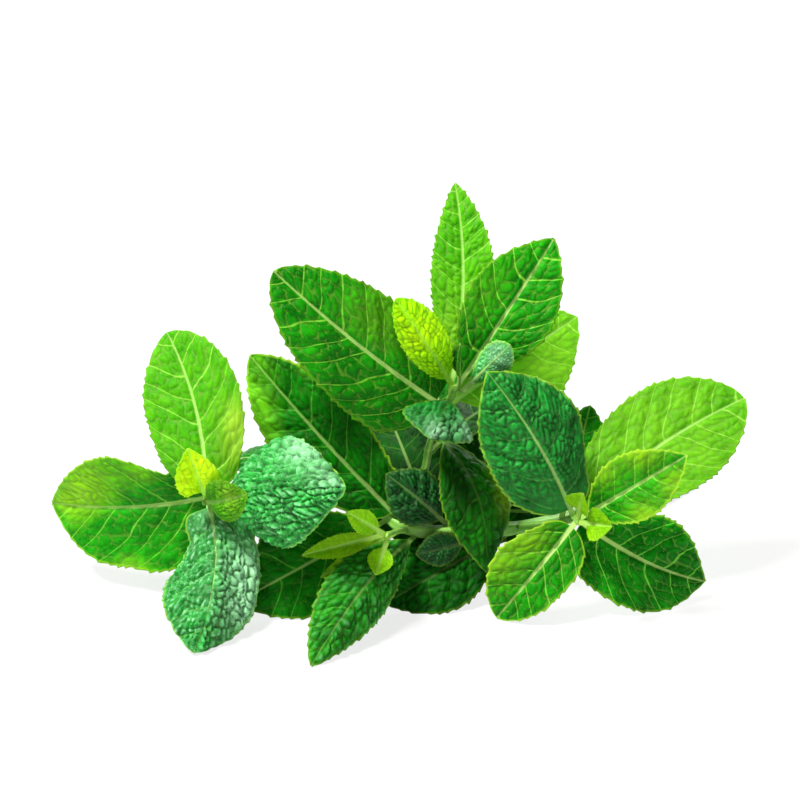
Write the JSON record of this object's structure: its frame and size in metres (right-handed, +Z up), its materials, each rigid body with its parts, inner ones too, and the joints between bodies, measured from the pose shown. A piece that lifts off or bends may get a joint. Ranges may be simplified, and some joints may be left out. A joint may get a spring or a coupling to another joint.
{
  "type": "mint sprig",
  "caption": "Fresh sprig of mint lying loose: a branched square stem with crossed pairs of pointed oval leaves and small young leaves at the shoot tips.",
  "frame": {"origin": "on the surface the sprig lies on, below the middle of its outline", "axes": "+X to the right along the longest extent, -Y to the front where the shoots face, +Z up"},
  "size_m": [0.1808, 0.1034, 0.0996],
  "materials": {
    "leaf_light": "satin leaf skin",
    "leaf_green": "satin leaf skin",
    "leaf_dark": "satin leaf skin",
    "leaf_blue": "satin leaf skin",
    "leaf_yellow": "satin leaf skin",
    "stem": "satin green stem"
  },
  "bodies": {
    "root": {"main_stem": "stem", "right_stem": "stem", "top_stem": "stem", "front_stem": "stem", "left_leaf_outer": "leaf_green", "left_leaf_domed": "leaf_blue", "left_leaf_upper": "leaf_light", "left_leaf_lower": "leaf_blue", "left_bud_leaf_a": "leaf_yellow", "left_bud_leaf_b": "leaf_light", "middle_leaf_upper": "leaf_dark", "middle_leaf_front": "leaf_green", "middle_leaf_lower": "leaf_dark", "front_bud_leaf_a": "leaf_yellow", "front_bud_leaf_b": "leaf_yellow", "front_bud_leaf_c": "leaf_yellow", "front_bud_leaf_d": "leaf_yellow", "inner_leaf_left": "leaf_dark", "inner_leaf_right": "leaf_dark", "inner_leaf_small": "leaf_blue", "under_leaf_short": "leaf_blue", "under_leaf_long": "leaf_dark", "hanging_leaf": "leaf_green", "top_leaf_left": "leaf_green", "top_leaf_young": "leaf_yellow", "top_leaf_upright": "leaf_light", "top_leaf_right": "leaf_green", "top_leaf_behind": "leaf_light", "top_leaf_curled": "leaf_blue", "top_bud_leaf": "leaf_dark", "top_leaf_nodding": "leaf_blue", "right_leaf_outer": "leaf_light", "right_leaf_behind": "leaf_green", "right_leaf_upper": "leaf_blue", "right_leaf_lower": "leaf_dark", "right_leaf_middle": "leaf_green", "right_leaf_front": "leaf_green", "right_bud_leaf_a": "leaf_yellow", "right_bud_leaf_b": "leaf_yellow", "rear_leaf_left": "leaf_dark", "rear_leaf_middle": "leaf_dark", "rear_leaf_right": "leaf_dark", "rear_leaf_high_left": "leaf_dark", "rear_leaf_high_right": "leaf_dark"}
  },
  "joints": []
}
